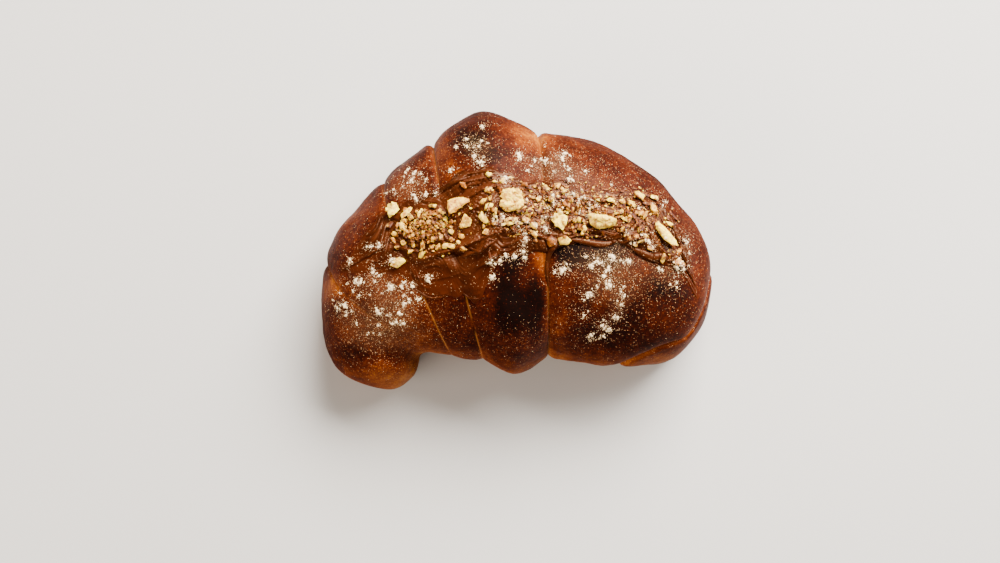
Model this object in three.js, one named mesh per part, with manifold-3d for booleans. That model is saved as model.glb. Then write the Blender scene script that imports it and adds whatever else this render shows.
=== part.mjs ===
// A crescent brioche, rolled from one strip of dough, with hazelnut spread smeared along its top
// and chopped hazelnuts pressed into the spread.
// Units are millimetres. X runs along the pastry, Y towards its rounded back, Z up. The origin is at
// the middle of the underside.
import * as THREE from "three";
import { ConvexGeometry } from "three/addons/geometries/ConvexGeometry.js";
import { mergeVertices } from "three/addons/utils/BufferGeometryUtils.js";
import Module from "manifold-3d";

const wasm = await Module();
wasm.setup();

// The size of the pastry.
const LENGTH = 154;
const DEPTH = 109;
const HEIGHT = 58;

// Ribs cross the roll from its back to its front. Each has the two ends in plan and the height of
// its crown, as shares of the length, depth and height, with the plan's middle at 0.
const RIBS = [
  { back: [-0.338, -0.51], front: [-0.338, -0.51], crown: 0.4 }, // tip of the left horn
  { back: [-0.464, -0.43], front: [-0.268, -0.462], crown: 0.56 },
  { back: [-0.502, -0.225], front: [-0.243, -0.378], crown: 0.68 },
  { back: [-0.476, 0.02], front: [-0.19, -0.372], crown: 0.82 },
  { back: [-0.372, 0.208], front: [-0.138, -0.388], crown: 0.88 },
  { back: [-0.222, 0.392], front: [-0.082, -0.4], crown: 0.94 },
  { back: [-0.078, 0.502], front: [-0.006, -0.447], crown: 1.0 }, // middle of the belt
  { back: [0.062, 0.432], front: [0.082, -0.396], crown: 0.98 },
  { back: [0.222, 0.386], front: [0.158, -0.4], crown: 0.94 },
  { back: [0.378, 0.236], front: [0.234, -0.416], crown: 0.9 },
  { back: [0.492, 0.01], front: [0.312, -0.418], crown: 0.8 },
  { back: [0.494, -0.222], front: [0.388, -0.404], crown: 0.6 },
  { back: [0.44, -0.358], front: [0.44, -0.358], crown: 0.36 }, // tip of the right horn
];

// Seams between the layers of the roll: where each crosses the back, the crown and the front,
// counted in ribs, how deep it cuts there, and which side of it overlaps the other.
const SEAMS = [
  { back: 0.85, crown: 1.5, front: 1.85, cuts: [0.2, 0.15, 0.12], over: "right" },
  { back: 2.75, crown: 2.5, front: 2.45, cuts: [1.7, 0.5, 0.2], over: "right" },
  { back: 4.25, crown: 4.0, front: 3.55, cuts: [1.5, 0.7, 0.8], over: "right" },
  { back: 5.05, crown: 5.0, front: 5.0, cuts: [2.8, 1.0, 1.1], over: "right" },
  { back: 6.95, crown: 7.0, front: 7.0, cuts: [2.6, 1.4, 2.2], over: "left" },
  { back: 10.3, crown: 10.75, front: 9.3, cuts: [1.8, 2.0, 2.0], over: "left" },
];
const LIP_WIDTH = 6.5; // the overlapping side rounds over into the seam
const HEEL_WIDTH = 4; // the side underneath runs gently up from it

const BELLY = 0.37; // height of the widest level, as a share of the crown
const UNDERCUT = 1.32; // the underside would reach this far past the belly before the tray flattens it
const TRAY_EASE = 2.2; // rounding between the side and the flat underside
const TIP_RIBS = 1.45; // ribs over which a horn's tip rounds off
const FULLNESS = 0.93; // under 1 fills the shoulders of each section
const CAST = 0.9; // slow unevenness of the dough
const BLISTER = 0.45; // quicker unevenness of its crust

// Rows of faces along each layer, from the left tip to the right one, and faces round a section.
const LAYER_ROWS = [7, 9, 10, 8, 14, 19, 7];
const SECTION_FACES = 40;

// The smear of spread, ribbed like the dough: far and near edges in plan and its thickness.
const SMEAR = [
  { far: [-0.438, -0.07], near: [-0.438, -0.07], thick: 0.7 }, // left end
  { far: [-0.395, 0.011], near: [-0.363, -0.084], thick: 1.3 },
  { far: [-0.336, 0.131], near: [-0.299, -0.081], thick: 1.8 },
  { far: [-0.249, 0.175], near: [-0.241, -0.143], thick: 2.1 },
  { far: [-0.163, 0.236], near: [-0.163, -0.17], thick: 2.3 },
  { far: [-0.077, 0.288], near: [-0.084, -0.153], thick: 2.4 },
  { far: [0.002, 0.246], near: [-0.034, -0.03], thick: 2.2 },
  { far: [0.092, 0.24], near: [0.063, -0.016], thick: 2.0 },
  { far: [0.177, 0.199], near: [0.153, 0.028], thick: 2.0 },
  { far: [0.27, 0.197], near: [0.246, 0.022], thick: 2.0 },
  { far: [0.35, 0.185], near: [0.332, -0.036], thick: 1.8 },
  { far: [0.414, 0.041], near: [0.401, -0.077], thick: 1.5 },
  { far: [0.447, -0.168], near: [0.447, -0.168], thick: 0.7 }, // right end
];
const SMEAR_ROWS = 56;
const SMEAR_FACES = 11;
const SMEAR_EDGE = 0.45; // thickness left at the border
const SMEAR_RIM = 0.16; // share of the width over which the border thickens
const FURROWS = 4.5; // strokes of the knife across the smear
const FURROW_DEPTH = 0.38; // as a share of the thickness
const SMEAR_GAP = 0.65; // kept between the smear and the dough, whose faces don't match
const GAP = 0.4; // kept under each large piece of nut

// Chopped nuts, scattered over stretches of the smear. From and to count its ribs, low and high
// its width from the near edge, and size is the length of the smallest and largest pieces.
const NUT_BEDS = [
  { from: 2.2, to: 4.4, low: 0.4, high: 0.88, count: 40, size: [2.8, 5.6] },
  { from: 4.95, to: 6.6, low: 0.45, high: 0.94, count: 26, size: [2.8, 5.8] },
  { from: 6.6, to: 11.0, low: 0.1, high: 0.92, count: 44, size: [2.8, 6.0] },
];
const NUT_SHAPE = [1, 0.78, 0.62]; // length, width and thickness of a piece
const NUT_SUNK = 0.3; // share of a piece's thickness that is in the spread
const NUT_CORNERS = 12;
const NUT_SPACING = 0.72; // least distance between two pieces, in their mean lengths

// The largest pieces of hazelnut, each lying loose on the spread: place in plan as shares of the
// length and depth, size along, across and through, turn about the vertical, and corners.
const LARGE_NUTS = [
  { name: "hazelnut_half", at: [-0.012, 0.166], size: [11.5, 10.5, 4.6], turn: 20, corners: 30 },
  { name: "hazelnut_slice_middle", at: [0.205, 0.096], size: [11, 6, 3.8], turn: -12, corners: 24 },
  { name: "hazelnut_slice_right", at: [0.362, 0.057], size: [12, 5, 3.4], turn: -58, corners: 24 },
  { name: "hazelnut_chunk_middle", at: [0.103, 0.095], size: [8, 7, 4.6], turn: 75, corners: 20 },
  { name: "hazelnut_flake_left", at: [-0.15, 0.155], size: [9.2, 5.2, 2.6], turn: 28, corners: 20 },
  { name: "hazelnut_chunk_left", at: [-0.308, 0.141], size: [6.6, 5.8, 4.2], turn: -20, corners: 20 },
  { name: "hazelnut_flake_inner", at: [-0.121, 0.093], size: [7, 5.4, 2.8], turn: 55, corners: 20 },
  { name: "hazelnut_flake_front", at: [-0.29, -0.043], size: [7, 4, 2.2], turn: 18, corners: 20 },
];

const crust = new THREE.MeshStandardMaterial({ color: 0x8a4519, roughness: 0.45, metalness: 0 });
const spreadBrown = new THREE.MeshStandardMaterial({ color: 0x5f2a10, roughness: 0.3, metalness: 0 });
const nutCream = new THREE.MeshStandardMaterial({ color: 0xe6cd98, roughness: 0.7, metalness: 0 });

// Park and Miller's generator, so that every draw is the same on each run.
function seeded(seed) {
  let state = seed;
  return () => {
    state = (state * 16807) % 2147483647;
    return state / 2147483647;
  };
}

// A closed outline through the ribs' ends, there along one side and back along the other, which
// gives the two ends of a rib anywhere between the stated ones.
function railsThrough(ribs, farKey, nearKey) {
  const last = ribs.length - 1;
  const inPlan = ([x, y]) => new THREE.Vector3(x * LENGTH, y * DEPTH, 0);
  const there = ribs.map((rib) => inPlan(rib[farKey]));
  const back = ribs.slice(1, last).reverse().map((rib) => inPlan(rib[nearKey]));
  const outline = new THREE.CatmullRomCurve3([...there, ...back], true, "catmullrom", 0.5);
  return (place) => {
    const share = place / (2 * last);
    return { far: outline.getPoint(share), near: outline.getPoint(1 - share) };
  };
}

// A value given at each rib, read anywhere between them along a smooth curve.
function profileThrough(values) {
  const curve = new THREE.SplineCurve(values.map((value, i) => new THREE.Vector2(i, value)));
  return (place) => curve.getPoint(place / (values.length - 1)).y;
}

const doughRails = railsThrough(RIBS, "back", "front");
const crownAt = profileThrough(RIBS.map((rib) => rib.crown * HEIGHT));
const smearRails = railsThrough(SMEAR, "far", "near");
const smearThickness = profileThrough(SMEAR.map((rib) => rib.thick));

const lastRib = RIBS.length - 1;
const signedPower = (value, power) => Math.sign(value) * Math.abs(value) ** power;

// Where seam j crosses the section at an angle, in ribs, and how deep it is there. The first and
// last seams are the tips themselves.
function seamPlace(j, angle) {
  if (j === 0) return 0;
  if (j > SEAMS.length) return lastRib;
  const seam = SEAMS[j - 1];
  const side = Math.cos(angle) ** 2;
  return seam.crown + side * ((Math.cos(angle) > 0 ? seam.back : seam.front) - seam.crown);
}

function seamCut(j, angle) {
  if (j === 0 || j > SEAMS.length) return 0;
  const [back, crown, front] = SEAMS[j - 1].cuts;
  const side = Math.cos(angle) ** 2;
  return crown + side * ((Math.cos(angle) > 0 ? back : front) - crown);
}

// The flat tray below z = 0, eased into the sides.
function onTray(z) {
  if (z > TRAY_EASE) return z;
  if (z < -TRAY_EASE) return 0;
  return (z + TRAY_EASE) ** 2 / (4 * TRAY_EASE);
}

// How much of its full section the roll has: 0 at a horn's tip, 1 once past its rounding.
function tipRound(place) {
  const fromTip = Math.min(place, lastRib - place, TIP_RIBS) / TIP_RIBS;
  return Math.sin((fromTip * Math.PI) / 2);
}

// A point of the smooth roll, before its seams, with its outward direction in the section.
function rollPoint(place, angle) {
  const { far, near } = doughRails(place);
  const across = far.clone().sub(near).multiplyScalar(0.5);
  const middle = far.clone().add(near).multiplyScalar(0.5);
  const round = tipRound(place);
  const crown = crownAt(place);
  const belly = BELLY * crown;
  const up = signedPower(Math.sin(angle), FULLNESS);
  const rise = round * (up > 0 ? crown - belly : UNDERCUT * belly);
  const point = middle.addScaledVector(across, signedPower(Math.cos(angle), FULLNESS));
  point.z = belly + rise * up;
  const halfWidth = Math.max(across.length(), 1e-6);
  const outward = across.clone().multiplyScalar((Math.cos(angle) * rise) / halfWidth ** 2);
  outward.z = Math.sin(angle);
  return { point, outward: outward.normalize() };
}

// How far the crease of a seam reaches at a distance from it: 1 in the seam, 0 clear of it.
function creaseAt(distance, overlaps) {
  const share = 1 - Math.min(distance / (overlaps ? LIP_WIDTH : HEEL_WIDTH), 1);
  return overlaps ? 1 - Math.sqrt(1 - share ** 2) : share ** 2;
}

// How far baking has pushed the skin out, or drawn it in, at a point.
function unevenness({ x, y, z }) {
  const slow = Math.sin(x * 0.11 + 1.3) * Math.sin(y * 0.13 + 0.4) * Math.sin(z * 0.12 + 0.9);
  const quick = Math.sin(x * 0.23 + 0.7 + y * 0.08) * Math.sin(y * 0.27 + 2.1) * Math.sin(z * 0.21 + x * 0.05);
  return CAST * slow + BLISTER * quick;
}

// A point of the dough's skin. Layer counts the layers of the roll from the left tip, and its
// fraction runs across one layer from seam to seam.
function doughPoint(layer, angle) {
  const j = Math.min(Math.floor(layer), SEAMS.length);
  const share = layer - j;
  const start = seamPlace(j, angle);
  const end = seamPlace(j + 1, angle);
  const place = start + share * (end - start);
  const { point, outward } = rollPoint(place, angle);
  const width = rollPoint(start, angle).point.distanceTo(rollPoint(end, angle).point);
  const atStart = creaseAt(share * width, j > 0 && SEAMS[j - 1].over === "right");
  const atEnd = creaseAt((1 - share) * width, j < SEAMS.length && SEAMS[j].over === "left");
  const cut = seamCut(j, angle) * atStart + seamCut(j + 1, angle) * atEnd;
  point.addScaledVector(outward, tipRound(place) * (unevenness(point) - cut));
  point.z = onTray(point.z);
  return point;
}

// The angle of a column of a sphere's vertices: the columns run from the back over the underside.
function turnOf(column, columns) {
  return (((columns - column) % columns) / columns) * 2 * Math.PI;
}

// Rows crowd towards the seams, and spread evenly over the rounded tips.
function rowShare(share, layer) {
  const eased = 0.5 - 0.5 * Math.cos(share * Math.PI);
  if (layer === 0) return Math.sin((share * Math.PI) / 2);
  if (layer === LAYER_ROWS.length - 1) return 1 - Math.cos((share * Math.PI) / 2);
  return 0.35 * share + 0.65 * eased;
}

// A closed body whose rows of vertices run round the roll, made by bending a sphere along it.
function doughGeometry() {
  const rowTotal = LAYER_ROWS.reduce((sum, rows) => sum + rows, 0);
  const layerOfRow = LAYER_ROWS.flatMap((rows, j) =>
    Array.from({ length: rows }, (_, i) => j + rowShare(i / rows, j)),
  );
  layerOfRow.push(LAYER_ROWS.length);
  const sphere = new THREE.SphereGeometry(1, SECTION_FACES, rowTotal);
  const position = sphere.getAttribute("position");
  for (let row = 0; row <= rowTotal; row++) {
    for (let column = 0; column <= SECTION_FACES; column++) {
      const angle = turnOf(column, SECTION_FACES);
      const { x, y, z } = doughPoint(layerOfRow[row], angle);
      position.setXYZ(row * (SECTION_FACES + 1) + column, x, y, z);
    }
  }
  return sphere;
}

// Only positions kept, shared vertices merged.
function weld(geometry) {
  const bare = new THREE.BufferGeometry();
  bare.setAttribute("position", geometry.getAttribute("position"));
  bare.setIndex(geometry.index); // hulls have none, and mergeVertices gives them one
  return mergeVertices(bare, 1e-4);
}

function toSolid(geometry) {
  const welded = weld(geometry);
  const mesh = new wasm.Mesh({
    numProp: 3,
    vertProperties: new Float32Array(welded.attributes.position.array),
    triVerts: new Uint32Array(welded.index.array),
  });
  return new wasm.Manifold(mesh);
}

function toGeometry(solid) {
  const mesh = solid.getMesh();
  const geometry = new THREE.BufferGeometry();
  geometry.setAttribute("position", new THREE.BufferAttribute(mesh.vertProperties, 3));
  geometry.setIndex(new THREE.BufferAttribute(mesh.triVerts, 1));
  return geometry;
}

// Finds what lies below a point in plan, on the upper face of a mesh.
function surfaceFinder(geometry) {
  const target = new THREE.Mesh(geometry, new THREE.MeshBasicMaterial());
  const ray = new THREE.Raycaster();
  const down = new THREE.Vector3(0, 0, -1);
  return (x, y) => {
    ray.set(new THREE.Vector3(x, y, 2 * HEIGHT), down);
    const hit = ray.intersectObject(target)[0];
    return hit && { point: hit.point, normal: hit.face.normal };
  };
}

// Thickness of the smear at a place along it and a share of its width: thin at the border, then
// furrowed by the strokes that spread it.
function smearHeight(place, share) {
  const fromBorder = Math.min(share, 1 - share) / SMEAR_RIM;
  const body = smearThickness(place) - SMEAR_EDGE;
  const sway = 0.09 * Math.sin(place * 1.9) + 0.05 * Math.sin(place * 4.3 + 1);
  const furrow = 0.5 + 0.5 * Math.cos(2 * Math.PI * FURROWS * (share + sway));
  return SMEAR_EDGE + body * THREE.MathUtils.smoothstep(fromBorder, 0, 1) * (1 - FURROW_DEPTH * furrow);
}

// A place on the smear in plan, its border wandering a little from the ribs' outline.
function smearPlan(place, share) {
  const { far, near } = smearRails(place);
  const wander = 0.05 * Math.sin(place * 4.3 + share * 2) + 0.03 * Math.sin(place * 8.1 + share * 5);
  return near.lerp(far, 0.5 + (share - 0.5) * (1 + wander));
}

// An even share from 0 to 1, drawn a little towards both ends.
function endwards(share) {
  return THREE.MathUtils.lerp(share, 0.5 - 0.5 * Math.cos(share * Math.PI), 0.3);
}

// The smear follows the dough beneath it, which is why it is laid down point by point: over the top
// for half of each row, and back underneath it, a gap above the dough, for the other half.
function smearGeometry(onDough) {
  const round = 2 * SMEAR_FACES;
  const sphere = new THREE.SphereGeometry(1, round, SMEAR_ROWS);
  const position = sphere.getAttribute("position");
  for (let row = 0; row <= SMEAR_ROWS; row++) {
    const place = (SMEAR.length - 1) * endwards(row / SMEAR_ROWS);
    const atEnd = row === 0 || row === SMEAR_ROWS;
    for (let column = 0; column <= round; column++) {
      const angle = turnOf(column, round);
      const share = 0.5 + 0.5 * signedPower(Math.cos(angle), 0.8);
      const { x, y } = smearPlan(place, share);
      const { point, normal } = onDough(x, y);
      const onBorder = atEnd || column % SMEAR_FACES === 0;
      const over = angle < Math.PI ? smearHeight(place, share) : 0;
      point.addScaledVector(normal, SMEAR_GAP + (onBorder ? SMEAR_EDGE / 2 : over));
      position.setXYZ(row * (round + 1) + column, point.x, point.y, point.z);
    }
  }
  return sphere;
}

// A broken piece of nut about its own centre, longest along X: the hull of points drawn near an
// ellipsoid. A cut face is where a kernel has split, and lies on top.
function nutPiece(random, [length, width, thickness], corners, cut = 1) {
  const points = [];
  for (let i = 0; i < corners; i++) {
    const height = 1 - (2 * (i + 0.5)) / corners;
    const turn = i * Math.PI * (3 - Math.sqrt(5));
    const radius = 0.5 * (0.82 + 0.36 * random());
    const reach = Math.sqrt(1 - height ** 2) * radius;
    const z = Math.min(height * radius, cut * 0.5);
    points.push(new THREE.Vector3(length * reach * Math.cos(turn), width * reach * Math.sin(turn), thickness * z));
  }
  return new ConvexGeometry(points);
}

// Turns a piece about the vertical and tips it to lie along a surface.
function layAlong(geometry, turn, normal) {
  const tip = new THREE.Quaternion().setFromUnitVectors(new THREE.Vector3(0, 0, 1), normal);
  return geometry.rotateZ(turn).applyQuaternion(tip);
}

function largeNutPlan({ at }) {
  return new THREE.Vector2(at[0] * LENGTH, at[1] * DEPTH);
}

// Draws the places and sizes of the chopped pieces, clear of each other and of the large ones.
function scatterNuts() {
  const random = seeded(2024);
  const placed = [];
  const keptFree = LARGE_NUTS.map((nut) => ({ plan: largeNutPlan(nut), reach: 0.5 * Math.max(...nut.size) }));
  for (const bed of NUT_BEDS) {
    let left = bed.count;
    for (let tries = 0; tries < 40 * bed.count && left > 0; tries++) {
      const place = bed.from + (bed.to - bed.from) * random();
      const share = bed.low + (bed.high - bed.low) * random();
      const length = THREE.MathUtils.lerp(...bed.size, random() ** 1.2);
      const { x, y } = smearPlan(place, share);
      const plan = new THREE.Vector2(x, y);
      const onLarge = keptFree.some((nut) => nut.plan.distanceTo(plan) < nut.reach + 0.5 * length);
      const crowded = placed.some(
        (other) => other.plan.distanceTo(plan) < NUT_SPACING * 0.5 * (other.length + length),
      );
      if (onLarge || crowded) continue;
      placed.push({ plan, length, turn: 2 * Math.PI * random(), tilt: 0.5 * (random() - 0.5) });
      left -= 1;
    }
  }
  return placed;
}

// The least height of a piece's corners above the surface under them.
function roomUnder(piece, onSurface) {
  const position = piece.getAttribute("position");
  let room = Infinity;
  for (let i = 0; i < position.count; i++) {
    const under = onSurface(position.getX(i), position.getY(i));
    if (under) room = Math.min(room, position.getZ(i) - under.point.z);
  }
  return room;
}

// The smear with its chopped nuts pressed into it, as one body that stays clear of the dough.
function toppingGeometry(smear, onDough) {
  const onSmear = surfaceFinder(smear);
  const random = seeded(77);
  let topping = toSolid(smear);
  for (const { plan, length, turn, tilt } of scatterNuts()) {
    const size = NUT_SHAPE.map((share) => share * length);
    const { point, normal } = onSmear(plan.x, plan.y);
    const piece = layAlong(nutPiece(random, size, NUT_CORNERS).rotateY(tilt), turn, normal);
    const lift = (0.5 - NUT_SUNK) * size[2];
    piece.translate(...point.addScaledVector(normal, lift).toArray());
    piece.translate(0, 0, Math.max(0, SMEAR_GAP - roomUnder(piece, onDough)));
    topping = topping.add(toSolid(piece));
  }
  return toGeometry(topping);
}

// A large piece, lowered until it lies a gap above what is under it.
function largeNutGeometry(nut, random, onTopping) {
  const { x, y } = largeNutPlan(nut);
  const { point, normal } = onTopping(x, y);
  const cut = nut.name.endsWith("half") ? 0.2 : 0.8;
  const piece = layAlong(nutPiece(random, nut.size, nut.corners, cut), THREE.MathUtils.degToRad(nut.turn), normal);
  piece.translate(point.x, point.y, point.z + nut.size[0]);
  return piece.translate(0, 0, GAP - roomUnder(piece, onTopping));
}

function named(name, geometry, material) {
  const mesh = new THREE.Mesh(geometry, material);
  mesh.name = name;
  return mesh;
}

const brioche = new THREE.Group();

const dough = weld(doughGeometry());
dough.computeVertexNormals();
brioche.add(named("brioche", dough, crust));

const onDough = surfaceFinder(dough);
const smear = weld(smearGeometry(onDough));
smear.computeVertexNormals();
const topping = toppingGeometry(smear, onDough);
topping.computeVertexNormals();
brioche.add(named("hazelnut_spread", topping, spreadBrown));

const onTopping = surfaceFinder(topping);
const largeRandom = seeded(311);
for (const nut of LARGE_NUTS) {
  brioche.add(named(nut.name, largeNutGeometry(nut, largeRandom, onTopping), nutCream));
}

export default brioche;
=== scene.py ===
# Chocolate hazelnut brioche: its looks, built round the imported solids.
import math
import bmesh
import bpy
import numpy as np
from mathutils import Matrix, Vector, noise
from mathutils.bvhtree import BVHTree


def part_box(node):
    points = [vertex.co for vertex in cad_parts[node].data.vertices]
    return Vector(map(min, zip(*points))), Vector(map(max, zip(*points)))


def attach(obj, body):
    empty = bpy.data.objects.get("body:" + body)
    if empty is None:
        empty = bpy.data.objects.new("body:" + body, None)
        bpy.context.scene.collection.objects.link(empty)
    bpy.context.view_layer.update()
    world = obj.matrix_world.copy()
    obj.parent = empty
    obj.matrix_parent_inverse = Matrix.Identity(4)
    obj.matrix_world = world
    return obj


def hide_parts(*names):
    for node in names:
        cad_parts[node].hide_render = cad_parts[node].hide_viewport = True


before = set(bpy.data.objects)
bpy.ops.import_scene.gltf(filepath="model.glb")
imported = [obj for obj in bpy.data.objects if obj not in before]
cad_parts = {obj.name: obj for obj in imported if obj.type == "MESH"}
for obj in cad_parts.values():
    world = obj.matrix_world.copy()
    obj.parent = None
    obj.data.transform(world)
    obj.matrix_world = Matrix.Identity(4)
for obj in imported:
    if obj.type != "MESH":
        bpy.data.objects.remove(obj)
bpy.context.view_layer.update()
mm = 0.001  # sizes below are in millimetres unless a note says otherwise


# shared helpers

def toLinear(colour):  # sRGB hex to the linear values that Blender mixes
    channels = [int(colour[i:i + 2], 16) / 255 for i in (1, 3, 5)]
    return [c / 12.92 if c <= 0.04045 else ((c + 0.055) / 1.055) ** 2.4 for c in channels] + [1]


def addNode(material, kind, sockets=None, stops=None, **settings):
    made = material.node_tree.nodes.new("ShaderNode" + kind)
    for key, value in settings.items():
        setattr(made, key, value)
    for key, value in (sockets or {}).items():
        if isinstance(value, bpy.types.Node):  # a node stands for its first output
            value = value.outputs[0]
        if isinstance(value, bpy.types.NodeSocket):
            material.node_tree.links.new(value, made.inputs[key])
        else:
            made.inputs[key].default_value = toLinear(value) if isinstance(value, str) else value
    if stops:  # a ramp's places and colours
        ramp = made.color_ramp
        for place, colour in stops[1:-1]:
            ramp.elements.new(place)
        for element, (place, colour) in zip(ramp.elements, stops):
            element.position = place
            element.color = toLinear(colour)
    return made


def newMaterial(name):
    material = bpy.data.materials.new(name)
    material.use_nodes = True
    material.node_tree.nodes.clear()
    return material


def finishMaterial(material, surface):
    addNode(material, "OutputMaterial", {"Surface": surface})
    return material


def smooth(low, high, value):
    share = np.clip((value - low) / (high - low), 0, 1)
    return share * share * (3 - 2 * share)


def signedPower(value, power):
    return np.sign(value) * np.abs(value) ** power


def curveThrough(points, closed=False):  # its parameter counts the points
    points = np.array(points, float)
    count = len(points)

    def at(place):
        place = np.asarray(place, float)
        index = np.floor(place).astype(int)
        if not closed:
            index = np.clip(index, 0, count - 2)
        around = [index + k for k in (-1, 0, 1, 2)]
        around = [k % count if closed else np.clip(k, 0, count - 1) for k in around]
        a, b, c, d = [points[k] for k in around]
        t = (place - index).reshape(place.shape + (1,) * (points.ndim - 1))
        leave, arrive = (c - a) / 2, (d - b) / 2
        cube, square = 2 * b - 2 * c + leave + arrive, 3 * c - 3 * b - 2 * leave - arrive
        return cube * t**3 + square * t**2 + leave * t + b
    return at


def railsThrough(ribs):  # far and near side of an outline through the ribs' ends
    there = [rib[0:2] for rib in ribs]
    back = [rib[2:4] for rib in ribs[-2:0:-1]]
    outline = curveThrough(np.array(there + back) * (dough["length"], dough["depth"]), closed=True)
    return lambda place: (outline(place), outline(2 * (len(ribs) - 1) - place))


def noiseAt(points, size, seed=0):  # soft noise with lumps of a size, one value for each point
    shift = Vector((seed * 7.3, seed * 3.1, seed * 5.7))
    return np.array([noise.noise(Vector(p) / size + shift) for p in points])


def noiseOver(along, across, layer):  # soft noise over two lists of places
    return np.array([noise.noise(Vector((a, b, layer))) for a, b in zip(along, across)])


def gridOf(ball, around, rows):  # which row and column each vertex of a UV sphere is in
    co = np.array([v.co for v in ball.verts])
    row = np.rint(np.arccos(np.clip(co[:, 2], -1, 1)) / math.pi * rows).astype(int)
    column = np.rint(np.arctan2(co[:, 1], co[:, 0]) / (2 * math.pi) * around).astype(int) % around
    return row, column


def addObject(name, data):
    made = bpy.data.objects.new(name, data)
    bpy.context.scene.collection.objects.link(made)
    return made


def toObject(bm, name, coords=None):  # coords in millimetres
    if coords is not None:
        for vert, place in zip(bm.verts, coords):
            vert.co = Vector(place) * mm
    bmesh.ops.recalc_face_normals(bm, faces=bm.faces)
    mesh = bpy.data.meshes.new(name)
    bm.to_mesh(mesh)
    bm.free()
    mesh.shade_smooth()
    return addObject(name, mesh)


def addAttribute(piece, name, values):
    layer = piece.data.attributes.new(name, "FLOAT", "POINT")
    layer.data.foreach_set("value", np.asarray(values, np.float32))


def dress(piece, material, slotName, *nodes):
    piece.data.materials.append(material)
    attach(piece, "root")
    if nodes:
        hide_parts(*nodes)
    return piece


def treeOf(*pieces):
    bm = bmesh.new()
    for piece in pieces:
        bm.from_mesh(piece.data)
    tree = BVHTree.FromBMesh(bm)
    bm.free()
    return tree


def landOn(tree, x, y):  # what lies below a point in plan
    hit, normal, _, _ = tree.ray_cast(Vector((x * mm, y * mm, 0.2)), Vector((0, 0, -1)))
    return (np.array(hit) / mm, normal) if hit else (None, None)


def facing(normal):  # the turn from straight up to a surface's way out
    return Vector((0, 0, 1)).rotation_difference(normal).to_matrix()


def pick(rng, kinds):
    return int(rng.integers(len(kinds)))


# the dough

dough = {
    "length": 154, "depth": 109, "height": 58,
    # ribs across the roll: back end, front end (shares of length and depth), crown (of the height)
    "ribs": [
        (-0.338, -0.51, -0.338, -0.51, 0.4),
        (-0.464, -0.43, -0.268, -0.462, 0.56),
        (-0.502, -0.225, -0.243, -0.378, 0.68),
        (-0.476, 0.02, -0.19, -0.372, 0.82),
        (-0.372, 0.208, -0.138, -0.388, 0.88),
        (-0.222, 0.392, -0.082, -0.4, 0.94),
        (-0.078, 0.502, -0.006, -0.447, 1.0),
        (0.062, 0.432, 0.082, -0.396, 0.98),
        (0.222, 0.386, 0.158, -0.4, 0.94),
        (0.378, 0.236, 0.234, -0.416, 0.9),
        (0.492, 0.01, 0.312, -0.418, 0.8),
        (0.494, -0.222, 0.388, -0.404, 0.6),
        (0.44, -0.358, 0.44, -0.358, 0.36),
    ],
    # seams between the layers: ribs at the back, crown and front, cuts there, and whether the
    # layer on the right lies over; then how wide the pale flanks beside each are
    "seams": [
        (0.85, 1.5, 1.85, 0.2, 0.15, 0.12, True),
        (2.75, 2.5, 2.45, 1.7, 0.5, 0.2, True),
        (4.25, 4.0, 3.55, 1.5, 0.7, 0.8, True),
        (5.05, 5.0, 5.0, 2.8, 1.0, 1.1, True),
        (6.95, 7.0, 7.0, 2.6, 1.4, 2.2, False),
        (10.3, 10.75, 9.3, 1.8, 2.0, 2.0, False),
    ],
    "flanks": [2.0, 1.8, 1.2, 1.2, 2.0, 1.8], "paleness": [0, 0.3, 0.7, 0.7, 0.3, 0.3],
    "lip": 6.5, "heel": 4,  # reach of the rounded edge that lies over, and of the hollow beside it
    "crack": (0.3, 0.5),  # depth and half width of the crack along a seam
    "belly": 0.37, "undercut": 1.32,  # height of the widest line (of the crown), and reach below it
    "tipRibs": 1.45, "fullness": 0.93,  # ribs that a horn's end is rounded over; below 1 is squarer
    "trayEase": 2.2,  # height over which the underside turns flat
    "cast": 0.9, "blister": 0.45,  # slow and quick unevenness
    "wrinkles": [(7, 0.2), (2.6, 0.12), (1.1, 0.05)],  # lump size and height
    "rows": [28, 36, 42, 34, 70, 88, 30],  # rows of faces in each layer
    "rowShares": (0.45, 0.55),  # how much of them is even, and how much gathers at the seams
    "around": 300, "aroundTop": 215, "topFrom": -8, "topTo": 188,  # columns, and degrees they cover
    "brown": 0.56, "footPaler": 0.44,  # how brown the skin is, and how much less at its amber foot
    "foot": (5, 22), "footInFront": (16, 21),  # heights the foot fades over, and how much is added
    "mottles": [(15, 0.16), (5, 0.1)],  # size and strength
    # browner patches (above 0) and paler ones: centre, reach, strength. The paler one at (-42, 26) is painted
    # sheen: it lightens the top left, where the crust catches the light.
    "patchesAndPaintedSheen": [
        (-4, -18, 5, 10, 0.42), (7, -20, 3, 10, 0.5), (1, -22, 6, 6, 0.42), (1, -28, 8, 5, 0.16),
        (33, -31, 14, 6, 0.2), (24, -19, 5, 9, 0.1), (46, -26, 8, 7, 0.12), (54, -18, 7, 8, 0.2),
        (30, -1, 14, 5, 0.42), (41, -8, 14, 8, 0.1),
        # (-42, 26, 12, 8, -0.12) on this line is painted sheen, a lighter place where the top left catches
        # the light
        (18, -2, 5, 6, 0.36), (-1, -3, 6, 6, 0.42), (9, -2, 3, 6, -0.4), (-42, 26, 12, 8, -0.12),
        (-61, -38.5, 9, 3.6, 0.2), (-41, -35, 9, 7, -0.2), (-22, -28, 8, 10, 0.1),
        (-18, 41, 7, 6, 0.42), (-10, 35, 6, 4, 0.24), (-67, 13, 9, 13, -0.12), (62, -15, 6, 6, 0.12),
        (8, 43, 10, 8, -0.36), (2, 39, 3, 8, -0.12), (-30, 40, 4, 7, -0.28), (-25, 30, 5, 5, -0.14),
        (-71.5, -15, 5, 5, -0.45), (-54, -50, 20, 5.6, -0.34), (17, -31, 2.4, 12, -0.16),
        (64, -34, 9, 4, -0.12),
    ],
}

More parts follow.
